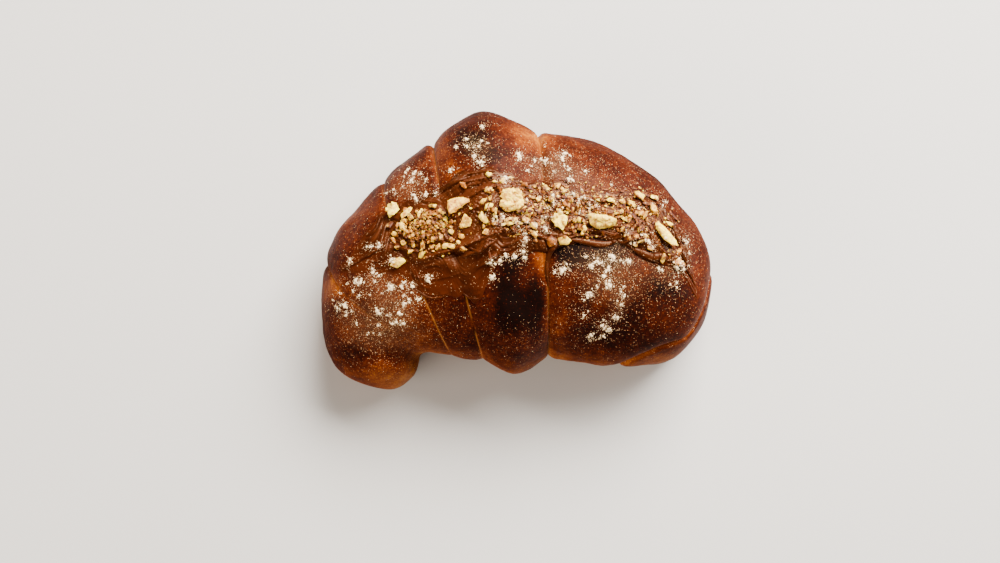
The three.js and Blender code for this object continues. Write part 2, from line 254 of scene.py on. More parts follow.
lastRib = len(dough["ribs"]) - 1
doughRails = railsThrough(dough["ribs"])
crownAt = curveThrough([rib[4] * dough["height"] for rib in dough["ribs"]])


def tipRound(place):
    fromTip = np.minimum(np.minimum(place, lastRib - place), dough["tipRibs"]) / dough["tipRibs"]
    return np.sin(fromTip * math.pi / 2)


def rollPoint(place, angle):  # the smooth roll, and which way is out
    far, near = doughRails(place)
    across, middle = (far - near) / 2, (far + near) / 2
    crown = crownAt(place)
    belly = dough["belly"] * crown
    up = signedPower(np.sin(angle), dough["fullness"])
    rise = tipRound(place) * np.where(up > 0, crown - belly, dough["undercut"] * belly)
    plan = middle + across * signedPower(np.cos(angle), dough["fullness"])[:, None]
    halfWidth = np.maximum(np.linalg.norm(across, axis=1), 1e-6)
    outward = np.column_stack([across * (np.cos(angle) * rise / halfWidth**2)[:, None], np.sin(angle)])
    outward /= np.linalg.norm(outward, axis=1)[:, None]
    return np.column_stack([plan, belly + rise * up]), outward


def seamValue(j, angle, first):  # a seam's back, crown and front values, read round the section
    ends = [0, 0, 0, 0, 0, 0], [lastRib] * 3 + [0, 0, 0]
    table = np.array([ends[0]] + [seam[:6] for seam in dough["seams"]] + [ends[1]], float)
    back, crown, front = table[j, first], table[j, first + 1], table[j, first + 2]
    side = np.cos(angle) ** 2
    return crown + side * (np.where(np.cos(angle) > 0, back, front) - crown)


def creaseAt(distance, overlaps):
    share = 1 - np.minimum(distance / np.where(overlaps, dough["lip"], dough["heel"]), 1)
    return np.where(overlaps, 1 - np.sqrt(1 - share**2), share**2)


def unevenness(p):
    x, y, z = p.T
    slow = np.sin(x * 0.11 + 1.3) * np.sin(y * 0.13 + 0.4) * np.sin(z * 0.12 + 0.9)
    quick = np.sin(x * 0.23 + 0.7 + y * 0.08) * np.sin(y * 0.27 + 2.1) * np.sin(z * 0.21 + x * 0.05)
    return dough["cast"] * slow + dough["blister"] * quick


def onTray(z):
    ease = dough["trayEase"]
    return np.where(z > ease, z, np.where(z < -ease, 0, (z + ease) ** 2 / (4 * ease)))


def doughSkin(layer, angle):
    seamCount = len(dough["seams"])
    j = np.minimum(np.floor(layer).astype(int), seamCount)
    share = layer - j
    start, end = seamValue(j, angle, 0), seamValue(j + 1, angle, 0)
    place = start + share * (end - start)
    point, outward = rollPoint(place, angle)
    width = np.linalg.norm(rollPoint(start, angle)[0] - rollPoint(end, angle)[0], axis=1)
    rightOver = np.array([False] + [seam[6] for seam in dough["seams"]] + [True])
    fromStart = np.where(j > 0, share * width, 99)
    fromEnd = np.where(j < seamCount, (1 - share) * width, 99)
    cutStart, cutEnd = seamValue(j, angle, 3), seamValue(j + 1, angle, 3)
    cut = cutStart * creaseAt(share * width, rightOver[j] & (j > 0))
    cut += cutEnd * creaseAt((1 - share) * width, ~rightOver[j + 1])
    nearest = np.where(fromStart < fromEnd, j - 1, j)
    fromSeam = np.minimum(fromStart, fromEnd)
    depth = np.where(fromStart < fromEnd, cutStart, cutEnd)
    wrinkle = sum(high * noiseAt(point, size, k) for k, (size, high) in enumerate(dough["wrinkles"]))
    deep, wide = dough["crack"]
    lessBehind = 1 - 0.7 * smooth(0, 0.5, outward[:, 1])
    crack = deep * smooth(0.5, 2.6, depth) * lessBehind * np.exp(-(fromSeam / wide) ** 2)
    point += outward * (tipRound(place) * (unevenness(point) + wrinkle - cut - crack))[:, None]
    point[:, 2] = onTray(point[:, 2])
    return point, outward, fromSeam, np.clip(nearest, 0, seamCount - 1), depth


def makeDough():
    rows, around = sum(dough["rows"]), dough["around"]
    bm = bmesh.new()
    bmesh.ops.create_uvsphere(bm, u_segments=around, v_segments=rows, radius=1)
    row, column = gridOf(bm, around, rows)
    even, gathered = dough["rowShares"]
    layerOfRow = []
    for j, count in enumerate(dough["rows"]):
        share = np.arange(count) / count
        eased = 0.5 - 0.5 * np.cos(share * math.pi)
        if j == 0:
            eased = np.sin(share * math.pi / 2)
        if j == len(dough["rows"]) - 1:
            eased = 1 - np.cos(share * math.pi / 2)
        layerOfRow += list(j + even * share + gathered * eased)
    layer = np.array(layerOfRow + [len(dough["rows"])])[row]
    top, below = dough["aroundTop"], around - dough["aroundTop"]
    sweep = dough["topTo"] - dough["topFrom"]
    turn = np.where(column < top, column / top * sweep, sweep + (column - top) / below * (360 - sweep))
    angle = np.radians(turn + dough["topFrom"])
    point, outward, fromSeam, seam, depth = doughSkin(layer, angle)
    piece = toObject(bm, "briocheCrust", point)

    x, y, z = point.T
    frontward = smooth(-0.2, 0.6, -outward[:, 1])
    low, high = [at + more * frontward for at, more in zip(dough["foot"], dough["footInFront"])]
    amber = 1 - smooth(low, high, z + 4 * noiseAt(point, 9, 4))
    # the value below is how brown the crust is, and at the top left it also holds a painted sheen from the
    # patches
    bake = dough["brown"] - dough["footPaler"] * amber
    for k, (size, strength) in enumerate(dough["mottles"]):
        bake += strength * noiseAt(point, size, 5 + k)
    for px, py, rx, ry, strength in dough["patchesAndPaintedSheen"]:
        reach = ((x - px) / rx) ** 2 + ((y - py) / ry) ** 2
        bake += strength * np.exp(-reach) * smooth(-0.15, 0.25, outward[:, 2])
    flank = np.array(dough["flanks"])[seam]
    bake -= 0.16 * np.exp(-(fromSeam / flank) ** 2) * smooth(0.3, 1.6, depth)
    addAttribute(piece, "bake", np.clip(bake, 0, 1))
    fade = smooth(-0.35, 0.25, noiseAt(point, 9, 7) + 0.25)
    addAttribute(piece, "seamLine", np.exp(-(fromSeam / 0.24) ** 2) * smooth(0.15, 0.8, depth) * fade
                 * np.array(dough["paleness"])[seam] * (1 - 0.6 * smooth(0, 0.5, outward[:, 1])))
    addAttribute(piece, "dusting", np.clip(dustAt(x, y), 0, 1) * smooth(0.05, 0.5, outward[:, 2]))
    return piece


# icing sugar: drifts of clumps, with their centre, reach, number of clumps and largest clump

sugar = {
    "drifts": [
        (-66, -23, 4.5, 2.6, 8, 2.4), (-53, -15, 8, 3.6, 11, 2.0), (-41, -18, 4, 5, 10, 2.3),
        (-49, -23, 6, 2.6, 7, 2.2), (-45, -27, 2.6, 2, 4, 2.2), (-53, -32, 9, 4, 7, 1.1),
        (-55, 1, 3, 1.2, 4, 1.8), (-64, -5, 1.4, 2, 3, 2.0), (-54, -7, 3, 2.4, 4, 1.7),
        (-48, -4, 2, 1.2, 3, 1.8), (-70, -18, 2, 2, 2, 1.5), (-61, -12, 3, 1.6, 3, 2.2),
        (-40, 27, 5.5, 3.4, 10, 2.0), (-37, 21, 5, 1.8, 6, 1.9), (-48, 22, 3, 1.2, 3, 1.6),
        (-16, 40, 4.6, 2.4, 8, 2.1), (-14, 33, 2.2, 1.6, 5, 2.0), (-24, 30, 1.6, 1, 2, 1.8),
        (-13, 47, 0.8, 0.8, 2, 1.5), (1, 36, 1.5, 1.8, 4, 2.0), (11, 31, 6.5, 4, 13, 1.7),
        (17, 36, 2.6, 1.5, 4, 2.1), (11, 40, 0.6, 0.6, 1, 1.7), (26, 29, 0.6, 0.6, 1, 2.2),
        (20, 26, 1.2, 0.8, 3, 2.2), (-5, 26, 2.2, 1.4, 4, 2.4), (2, 8, 8, 2.2, 8, 1.9),
        (11, 7, 1.4, 2.6, 4, 1.9), (27, 18, 18, 4.5, 18, 1.6), (51, 19, 4, 2.4, 4, 1.5),
        (15, 17, 8, 5, 14, 1.7), (-3, 11, 6, 2.2, 9, 1.9),
        (43, 5, 10, 3, 8, 1.7), (2, 3, 1.6, 2.2, 4, 2.4), (-4, -4, 5, 1.6, 6, 2.4),
        (-9, -11, 1, 1, 2, 2.6), (-33, -10, 1.8, 1.2, 3, 2.3), (18, -7, 3.6, 2.2, 5, 2.5),
        (29, -4, 6, 3, 7, 2.0), (38, -5, 5, 3, 6, 2.4), (34, -10, 6, 4, 6, 2.2),
        (39, -14, 4.5, 3, 5, 2.3), (27, -17, 3.6, 2.2, 4, 1.8), (38, -20, 1.6, 2.6, 4, 1.9),
        (38, -25, 1.2, 1.4, 3, 1.7), (24, -25, 2, 1.8, 3, 1.6), (34, -29, 3.6, 2.6, 7, 2.0),
        (29, -34, 2.2, 1.2, 4, 2.0), (54, -8, 1.2, 1, 2, 2.5), (60, -12, 1.2, 2.6, 3, 2.2),
        (62, -5, 2.8, 2.8, 7, 2.3), (65, 2, 2, 2.8, 4, 2.3), (51, 2, 1.8, 1.2, 3, 2.4),
    ],
    # veils of the finest dust, between the drifts: centre, reach, thickness (below 0 for a bare place)
    "veils": [
        (-52, -30, 20, 12, 0.6), (-50, -8, 16, 10, 0.35), (38, -14, 24, 15, 0.34), (4, -34, 12, 6, 0.2),
        (1, -20, 9, 9, -0.3), (58, 0, 12, 12, 0.4), (-14, 38, 10, 8, 0.35), (14, 32, 14, 8, 0.4),
        (-42, 24, 11, 7, 0.35), (35, 27, 22, 7, 0.25), (10, 10, 50, 12, 0.3),
    ],
    "everywhere": 0.12,  # thickness of the dust outside the veils
    "clumpsStray": 0.62, "grainsStray": 0.85,  # how far they lie from a drift's centre, of its reach
    "grain": (0.14, 0.34), "driftGrain": (0.12, 0.3),  # smallest and largest, round clumps and drifts
    "loose": 1300,  # single grains over the whole top
    "steepest": 0.12,  # no sugar stays where the way out points up by less
}


def dustAt(x, y):  # how thick the veil of fine sugar lies
    total = sugar["everywhere"] + 0 * x
    for cx, cy, rx, ry, thick in sugar["veils"]:
        total = total + thick * np.exp(-((x - cx) / rx) ** 2 - ((y - cy) / ry) ** 2)
    for cx, cy, rx, ry, clumps, _ in sugar["drifts"]:
        spread = ((x - cx) / (rx + 2.2)) ** 2 + ((y - cy) / (ry + 2.2)) ** 2
        total = total + 0.075 * clumps**0.5 * np.exp(-spread)
    return total


# materials: their patterns read metres, so each scale is 1000 over a size in millimetres

def dusted(m, where, colour, dust, tint="#bb8a5e"):
    # Single grains of the finest sugar, about half a millimetre apart and drawn as dots, over a thin
    # veil. Both thicken in the drifts.
    cells = addNode(m, "TexVoronoi", {"Vector": where, "Scale": 1000 / 0.5, "Randomness": 1.0})
    chance = addNode(m, "SeparateColor", {"Color": cells.outputs["Color"]})
    present = addNode(m, "Math", {0: chance.outputs[0], 1: dust}, operation="LESS_THAN")
    size = addNode(m, "Math", {0: chance.outputs[1], 1: 0.22, 2: 0.16}, operation="MULTIPLY_ADD")
    dot = addNode(m, "Math", {0: cells.outputs["Distance"], 1: size}, operation="LESS_THAN")
    dot = addNode(m, "Math", {0: dot, 1: present}, operation="MULTIPLY")
    shine = addNode(m, "Math", {0: chance.outputs[2], 1: 0.6, 2: 0.14}, operation="MULTIPLY_ADD")
    dot = addNode(m, "Math", {0: dot, 1: shine}, operation="MULTIPLY")
    veil = addNode(m, "Math", {0: dust, 1: 0.12, 2: -0.05}, operation="MULTIPLY_ADD", use_clamp=True)
    haze = addNode(m, "Math", {0: dot, 1: veil}, operation="ADD", use_clamp=True)
    mixed = addNode(m, "Mix", {0: haze, 6: colour, 7: tint}, data_type="RGBA")
    return mixed.outputs[2], haze


def bakedCrust():
    # Brioche crust: enriched dough with egg wash, browned in the oven. It is a dark mottled
    # chestnut with a broad silky sheen, burnt in patches, amber at the foot and pale in the seams.
    m = newMaterial("bakedBriocheCrust")
    where = addNode(m, "TexCoord").outputs["Object"]
    # this attribute holds the crust's browning and one painted sheen, a lighter place at the top left
    bake = addNode(m, "Attribute", attribute_name="bake").outputs["Fac"]
    seam = addNode(m, "Attribute", attribute_name="seamLine").outputs["Fac"]
    dust = addNode(m, "Attribute", attribute_name="dusting").outputs["Fac"]
    mottle = addNode(m, "TexNoise", {"Vector": where, "Scale": 1000 / 3.2, "Detail": 5, "Roughness": 0.68})
    fleck = addNode(m, "TexNoise", {"Vector": where, "Scale": 1000 / 0.9, "Detail": 2, "Roughness": 0.6})
    brownedAndPaintedSheen = addNode(m, "Math", {0: mottle, 1: 0.52, 2: -0.26}, operation="MULTIPLY_ADD")
    brownedAndPaintedSheen = addNode(m, "Math", {0: brownedAndPaintedSheen, 1: bake}, operation="ADD")
    flecked = addNode(m, "Math", {0: fleck, 1: 0.6, 2: -0.26}, operation="MULTIPLY_ADD")
    brownedAndPaintedSheen = addNode(m, "Math", {0: brownedAndPaintedSheen, 1: flecked}, operation="ADD")
    # pale specks, half a millimetre and up, where the skin is thin
    specks = addNode(m, "TexVoronoi", {"Vector": where, "Scale": 1000 / 0.85, "Randomness": 1.0})
    luck = addNode(m, "SeparateColor", {"Color": specks.outputs["Color"]})
    chosen = addNode(m, "Math", {0: luck.outputs[0], 1: 0.5}, operation="LESS_THAN")
    speck = addNode(m, "MapRange", {0: specks.outputs["Distance"], 1: 0.36, 2: 0.1, 3: 0.0, 4: 0.38})
    speck = addNode(m, "Math", {0: speck, 1: chosen}, operation="MULTIPLY")
    brownedAndPaintedSheen = addNode(m, "Math", {0: brownedAndPaintedSheen, 1: speck}, operation="SUBTRACT")
    colour = addNode(m, "ValToRGB", {"Fac": brownedAndPaintedSheen}, stops=[
        (0.0, "#92530f"), (0.16, "#713506"), (0.34, "#562206"), (0.5, "#3e1303"),
        (0.66, "#2a0902"), (0.82, "#190502"), (1.0, "#0a0302")])
    pale = addNode(m, "Math", {0: seam, 1: 0.7}, operation="MULTIPLY")
    colour = addNode(m, "Mix", {0: pale, 6: colour, 7: "#b8742e"},
                     data_type="RGBA")
    colour, haze = dusted(m, where, colour.outputs[2], dust)
    rough = addNode(m, "Math", {0: mottle, 1: 0.3, 2: 0.34}, operation="MULTIPLY_ADD")
    rough = addNode(m, "Math", {0: haze, 1: 0.4, 2: rough}, operation="MULTIPLY_ADD", use_clamp=True)
    pores = addNode(m, "TexNoise", {"Vector": where, "Scale": 1000 / 0.7, "Detail": 3, "Roughness": 0.65})
    bump = addNode(m, "Bump", {"Strength": 0.45, "Distance": 0.12 * mm, "Height": pores})
    return finishMaterial(m, addNode(m, "BsdfPrincipled", {
        "Base Color": colour, "Roughness": rough, "IOR": 1.33,
        "Specular IOR Level": 0.1, "Specular Tint": "#ffe4d2",
        "Sheen Weight": 0.1, "Sheen Roughness": 0.35, "Sheen Tint": "#e8c8c0",
        "Normal": bump}))


def hazelnutChocolate():
    # Hazelnut chocolate spread: sugar, fat and cocoa ground smooth, drawn out with a knife.
    # Milk-chocolate brown, softly glossy, lighter where it is thick and darker as a thin film.
    m = newMaterial("hazelnutChocolateSpread")
    where = addNode(m, "TexCoord").outputs["Object"]
    thick = addNode(m, "Attribute", attribute_name="thickness").outputs["Fac"]
    cloud = addNode(m, "TexNoise", {"Vector": where, "Scale": 1000 / 4.0, "Detail": 4, "Roughness": 0.6})
    shade = addNode(m, "Math", {0: cloud, 1: 0.9, 2: -0.45}, operation="MULTIPLY_ADD")
    shade = addNode(m, "Math", {0: shade, 1: thick}, operation="ADD")
    colour = addNode(m, "ValToRGB", {"Fac": shade}, stops=[
        (0.0, "#3a1404"), (0.25, "#2e0f03"), (0.6, "#2f1104"), (1.0, "#401b08")])
    dust = addNode(m, "Attribute", attribute_name="dusting").outputs["Fac"]
    colour, _ = dusted(m, where, colour, dust)
    fine = addNode(m, "TexNoise", {"Vector": where, "Scale": 1000 / 0.8, "Detail": 2})
    bump = addNode(m, "Bump", {"Strength": 0.4, "Distance": 0.1 * mm, "Height": fine})
    return finishMaterial(m, addNode(m, "BsdfPrincipled", {
        "Base Color": colour, "Roughness": 0.33, "IOR": 1.4,
        "Specular IOR Level": 0.3, "Specular Tint": "#ffc9a0", "Normal": bump}))


def nutFlesh():
    # Broken hazelnut kernel: waxy cream flesh with a fine broken grain, toasted darker in places,
    # and brown where the spread has coated it.
    m = newMaterial("hazelnutKernelFlesh")
    where = addNode(m, "TexCoord").outputs["Object"]
    tone = addNode(m, "Attribute", attribute_name="tone").outputs["Fac"]
    stain = addNode(m, "Attribute", attribute_name="stain").outputs["Fac"]
    grain = addNode(m, "TexNoise", {"Vector": where, "Scale": 1000 / 1.3, "Detail": 4, "Roughness": 0.7})
    toast = addNode(m, "Math", {0: grain, 1: 1.7, 2: -0.82}, operation="MULTIPLY_ADD")
    toast = addNode(m, "Math", {0: toast, 1: tone}, operation="ADD")
    colour = addNode(m, "ValToRGB", {"Fac": toast}, stops=[
        (0.0, "#ffe34a"), (0.3, "#ebb43c"), (0.56, "#9e5c12"), (1.0, "#4a2007")])
    patch = addNode(m, "TexNoise", {"Vector": where, "Scale": 1000 / 1.9, "Detail": 3, "Roughness": 0.6})
    patch = addNode(m, "MapRange", {0: patch, 1: 0.47, 2: 0.64, 3: 0.0, 4: 0.8})
    colour = addNode(m, "Mix", {0: patch, 6: colour, 7: "#8a4a18"},
                     data_type="RGBA")
    colour, _ = dusted(m, where, colour.outputs[2], 0.25, "#fff0dc")
    colour = addNode(m, "Mix", {0: stain, 6: colour, 7: "#4a200a"}, data_type="RGBA")
    bump = addNode(m, "Bump", {"Strength": 0.5, "Distance": 0.1 * mm, "Height": grain})
    return finishMaterial(m, addNode(m, "BsdfPrincipled", {
        "Base Color": colour.outputs[2], "Roughness": 0.55, "IOR": 1.47, "Specular IOR Level": 0.3,
        "Subsurface Weight": 0.12, "Subsurface Radius": (0.9, 0.6, 0.35), "Subsurface Scale": 1 * mm,
        "Normal": bump}))


def nutSkin():
    # The papery brown skin of a roasted hazelnut, thin, curled and dry.
    m = newMaterial("hazelnutSkin")
    where = addNode(m, "TexCoord").outputs["Object"]
    vein = addNode(m, "TexNoise", {"Vector": where, "Scale": 1000 / 1.1, "Detail": 4})
    colour = addNode(m, "ValToRGB", {"Fac": vein}, stops=[
        (0.3, "#220b02"), (0.5, "#4a1d05"), (0.72, "#84480f")])
    return finishMaterial(m, addNode(m, "BsdfPrincipled", {
        "Base Color": colour, "Roughness": 0.6, "IOR": 1.4, "Specular IOR Level": 0.3}))


def icingSugar(name, colour):
    # Icing sugar: milled white sugar, clumped, matt and slightly see-through at the edges. Single
    # grains have drawn a little fat from the crust and look warmer.
    m = newMaterial(name)
    return finishMaterial(m, addNode(m, "BsdfPrincipled", {
        "Base Color": colour, "Roughness": 0.9, "IOR": 1.5, "Subsurface Weight": 0.25,
        "Subsurface Radius": (0.5, 0.5, 0.5), "Subsurface Scale": 0.6 * mm}))


# the spread

spread = {
    # ribs across the smear: far edge, near edge (shares of length and depth), thickness
    "ribs": [
        (-0.438, -0.07, -0.438, -0.07, 0.7),
        (-0.395, 0.011, -0.363, -0.084, 1.3),
        (-0.336, 0.131, -0.299, -0.081, 1.8),
        (-0.249, 0.175, -0.241, -0.143, 2.1),
        (-0.163, 0.236, -0.163, -0.17, 2.3),
        (-0.077, 0.288, -0.084, -0.153, 2.4),
        (0.002, 0.246, -0.034, -0.03, 2.2),
        (0.092, 0.24, 0.063, -0.016, 2.0),
        (0.177, 0.199, 0.153, 0.028, 2.0),
        (0.27, 0.197, 0.246, 0.022, 2.0),
        (0.35, 0.185, 0.332, -0.036, 1.8),
        (0.414, 0.041, 0.401, -0.077, 1.5),
        (0.447, -0.168, 0.447, -0.168, 0.7),
    ],
    "rows": 400, "across": 150, "under": 12,  # faces along, across the top and across the underside
    # strokes of the knife: width, height (below 0 for a furrow), and the way it went
    "strokes": [
        (1.3, 1.3, [(-37, 16), (-30, 21.5), (-22.5, 25.3), (-17, 28.6), (-6, 29.5)]),
        (0.8, 0.9, [(-29, 19), (-21, 24), (-15.5, 26), (-8, 27)]),
        (1.0, 1.0, [(-24, 15.5), (-17, 19.7), (-12, 22.4), (-5, 23.4)]),
        (0.9, -0.9, [(-27, 16.5), (-19, 21.5), (-12, 24.4), (-5, 25.5)]),
        (0.8, 0.7, [(-29, 8.5), (-21, 12.5), (-14, 15.8), (-9, 17)]),
        (0.9, -1.0, [(-66, -9.6), (-63, -8), (-58, -5), (-52, -1.5)]),
        (0.8, 0.7, [(-66, -7.6), (-61, -5), (-55, -1.6), (-50, 1)]),
        (0.8, 0.6, [(-58, -9), (-52, -6.5), (-46, -5), (-40, -4.8)]),
        (1.1, 1.2, [(-37, -4.6), (-30, -2), (-22, 0.2), (-15, 3), (-9, 5.6)]),
        (1.1, -0.7, [(-36, -6.4), (-29, -3.8), (-21, -1.8), (-14, 0.6)]),
        (0.8, 1.1, [(-19, -2.6), (-13, -0.2), (-8, 3)]),
        (1.6, -0.9, [(-16.5, -5.4), (-12, -2.8), (-7.5, 0.2)]),
        (0.8, 0.9, [(-15, -7.4), (-10.5, -4.6), (-6, -1.6)]),
        (0.7, 0.5, [(-38, -14.6), (-33.5, -17.2), (-29, -17.6), (-25.5, -16.4)]),
        (0.6, 0.5, [(-40, -10), (-33, -11.5), (-26, -10.6), (-20, -8.6)]),
        (0.8, -0.9, [(13, 3.4), (19, 6.2), (26, 5.6), (34, 5.2)]),
        (0.7, -0.8, [(55, 14), (58, 8), (60, 2), (62, -5)]),
        (0.8, 0.9, [(36, 0.6), (42, 3), (49, 4.6)]),
        (0.8, 0.7, [(-48, 3), (-42, 0), (-36, -1)]),
        (0.7, 0.8, [(58, -3.5), (61.5, -8.5), (65, -13.5), (68, -18)]),
        (0.5, -0.7, [(60, -3), (64, -8), (67, -13), (69, -17)]),
    ],
    # raised curls where the knife turned: half width, half height, and the way they run
    "curls": [
        (0.8, 1.5, [(11.9, -14), (11.2, -9.5), (11.2, -5.4), (12.5, -1.2), (15.6, 2), (20.7, 4.6),
                    (26, 5.4)]),
        (1.3, 1.0, [(19.5, 3.6), (24, 3.1), (29.8, 2), (33.6, 2), (37.5, 3.2)]),
        (1.7, 1.1, [(43.5, 0.2), (47.8, -1.7), (50.9, -3), (54.4, -2.6), (58, -4.6)]),
        (0.8, 0.8, [(56.5, 16.4), (59, 10), (60.9, 4.4), (63, -1.6), (65.6, -9)]),
        (0.9, 0.9, [(0.5, 9.6), (5.6, 6), (9.5, 4.4), (13.4, 2.7)]),
        (0.8, 0.8, [(-17.6, 0.6), (-14, -1), (-11.5, 1.2), (-10.6, 3.4), (-8, 3)]),
        (0.7, 0.8, [(-10.6, -0.6), (-9.9, -3.6), (-10.2, -6.4)]),
        (0.4, 0.3, [(-38.6, -14.4), (-33.5, -17.8), (-29, -18.1), (-25.5, -16.8)]),
        (0.35, 0.25, [(-20, -16.4), (-18, -18), (-14.4, -18.6)]),
        (0.8, 0.8, [(-37, 17.4), (-30, 21.9), (-22.5, 25.3), (-16, 27.6)]),
    ],
    # thin films: centre, reach, and the share of the thickness that is gone
    "films": [
        (-30, -13, 14, 8, 0.92), (-58, -6, 9, 5, 0.8), (-45, -8, 9, 6, 0.85), (66, -12, 4, 8, 0.2),
        (-12, -12, 7, 10, 0.85), (-2, 1, 6, 4, 0.5),
    ],
    # height of the border's bead at each rib, far side and near side
    "beads": [(0.1, 0.05), (0.2, 0.05), (0.3, 0.05), (0.5, 0.05), (0.6, 0.25), (0.5, 0.3), (0.4, 0.4),
              (0.3, 0.8), (0.3, 1.0), (0.3, 0.9), (0.3, 0.6), (0.4, 0.4), (0.1, 0.1)],
    "bed": 0.25,  # how far it is sunk into the crust
    "furrows": 4.5, "furrowDepth": 0.38,  # broad furrows across the smear, and their share of it
    "steep": 0.45,  # width of a stroke's sharp side, of its soft side
}
spreadRails = railsThrough(spread["ribs"])
spreadThickness = curveThrough([rib[4] for rib in spread["ribs"]])


def spreadPlan(place, share):
    far, near = spreadRails(place)
    wander = 0.05 * np.sin(place * 4.3 + share * 2) + 0.03 * np.sin(place * 8.1 + share * 5)
    return near + (far - near) * (0.5 + (share - 0.5) * (1 + wander))[..., None]


def strokeHeight(plan):
    total = np.zeros(len(plan))
    for width, height, path in spread["strokes"]:
        samples = 14 * len(path)
        along = np.linspace(0, 1, samples)
        points = curveThrough(path)(along * (len(path) - 1))
        gap = np.linalg.norm(plan[:, None, :] - points[None, :, :], axis=2)
        nearest = gap.argmin(axis=1)
        distance = gap[np.arange(len(plan)), nearest]
        ahead = np.gradient(points, axis=0)[nearest]
        beside = plan - points[nearest]
        side = np.sign(ahead[:, 0] * beside[:, 1] - ahead[:, 1] * beside[:, 0])
        taper = np.sin(np.pi * np.clip(along[nearest], 0.02, 0.98)) ** 0.6
        steep = np.where(side > 0, 1.0, spread["steep"])
        total += height * taper * np.exp(-(distance / (width * steep)) ** 2)
    return total


def makeSpread(doughTree):
    rows, across, under = spread["rows"], spread["across"], spread["under"]
    around = across + under
    bm = bmesh.new()
    bmesh.ops.create_uvsphere(bm, u_segments=around, v_segments=rows, radius=1)
    row, column = gridOf(bm, around, rows)
    placeOf = lastRib * np.linspace(0, 1, rows + 1)
    shareOf = np.where(np.arange(around) <= across, 1 - np.arange(around) / across,
                       (np.arange(around) - across) / under)
    place, share = [a.ravel() for a in np.meshgrid(placeOf, shareOf, indexing="ij")]
    far, near = spreadRails(place)
    width = np.linalg.norm(far - near, axis=1)
    outer = 2 * share - 1
    side = np.round(share)  # 1 along the far border, 0 along the near one
    ragged = noiseOver(place * 2.6, side * 2, 3) + 0.6 * noiseOver(place * 6.5, side * 2, 8)
    ragged *= np.where(share > 0.5, 1, 1 - 0.6 * smooth(5.5, 6.5, place))
    plan = spreadPlan(place, share)
    ways = (far - near) / np.maximum(width, 1e-6)[:, None]
    plan = plan + ways * (signedPower(outer, 5) * ragged * 1.5 * smooth(0, 6, width))[:, None]

    base = np.array([landOn(doughTree, x, y)[0][2] for x, y in plan]).reshape(rows + 1, around)
    level = base.copy()
    for _ in range(10):  # spread bridges the seams and creases under it
        level[1:-1] = (level[:-2] + 2 * level[1:-1] + level[2:]) / 4
    level = np.maximum(base, level).ravel()
    base = base.ravel()

    inset = np.minimum(np.minimum(share, 1 - share) * width, np.minimum(place, lastRib - place) * 8)
    beadFar, beadNear = [curveThrough([pair[k] for pair in spread["beads"]])(place) for k in (0, 1)]
    bead = np.where(share > 0.5, beadFar, beadNear)
    bead = bead * (1 + 0.5 * noiseOver(place * 1.7, side * 3, 1))
    lip = bead * np.sqrt(1 - (1 - np.clip(inset / 1.3, 0, 1)) ** 2)
    sway = 0.09 * np.sin(place * 1.9) + 0.05 * np.sin(place * 4.3 + 1)
    furrow = 0.5 + 0.5 * np.cos(2 * np.pi * spread["furrows"] * (share + sway))
    body = (spreadThickness(place) - 0.2) * smooth(0, 6, inset) * (1 - spread["furrowDepth"] * furrow)
    thin = np.ones(len(plan))
    for x, y, rx, ry, gone in spread["films"]:
        thin *= 1 - gone * np.exp(-((plan[:, 0] - x) / rx) ** 2 - ((plan[:, 1] - y) / ry) ** 2)
    drag = share * width + 3 * sway * width
    streak = noiseOver(place * 1.5, drag / 1.1, 5) + 0.5 * noiseOver(place * 2.4, drag / 0.5, 9)
    onTop = smooth(0.2, 2.5, inset)
    strokes = strokeHeight(plan) * smooth(0, 1.0, inset)
    height = thin * (lip + body) + (0.15 + 0.55 * thin) * streak * onTop + (0.5 + 0.8 * thin) * strokes
    height = np.maximum(height, 0.12 * onTop)
    top = level + height
    isTop = (np.arange(around) > 0) & (np.arange(around) < across)
    isTop = np.tile(isTop, rows + 1) & (inset > 0)
    z = np.where(isTop, top, base - spread["bed"])
    coords = np.column_stack([plan, z]).reshape(rows + 1, around, 3)[row, column]
    piece = toObject(bm, "chocolateSpread", coords)
    thick = smooth(0.1, 1.8, height).reshape(rows + 1, around)[row, column]
    addAttribute(piece, "thickness", thick)
    addAttribute(piece, "dusting", np.clip(0.6 * dustAt(coords[:, 0], coords[:, 1]), 0, 1))
    return piece


def makeCurls(tree):  # ropes of spread, one sphere drawn out along each curl
    bm = bmesh.new()
    for index, (halfWidth, halfHeight, path) in enumerate(spread["curls"]):
        rows, around = 16 * len(path), 20
        ball = bmesh.ops.create_uvsphere(bm, u_segments=around, v_segments=rows, radius=1)["verts"]
        for v in ball:
            share = math.acos(max(-1, min(1, v.co.z))) / math.pi
            turn = math.atan2(v.co.y, v.co.x)
            here, ahead = curveThrough(path)(np.array([share, min(share + 0.01, 1)]) * (len(path) - 1))
            way = (ahead - here) / max(np.linalg.norm(ahead - here), 1e-6)
            x, y = here
            point, normal = landOn(tree, x, y)
            swell = math.sin(math.pi * share) ** 0.6 * (1 + 0.25 * noise.noise(Vector((x / 4, y / 4, index))))
            beside = halfWidth * swell * math.cos(turn)
            up = halfHeight * swell * (0.35 + math.sin(turn))
            v.co = (x - way[1] * beside, y + way[0] * beside, point[2] + up)
    coords = np.array([v.co for v in bm.verts])
    piece = toObject(bm, "spreadCurls", coords)
    addAttribute(piece, "thickness", np.full(len(coords), 0.8))
    addAttribute(piece, "dusting", np.clip(0.5 * dustAt(coords[:, 0], coords[:, 1]), 0, 1))
    return piece


# nuts

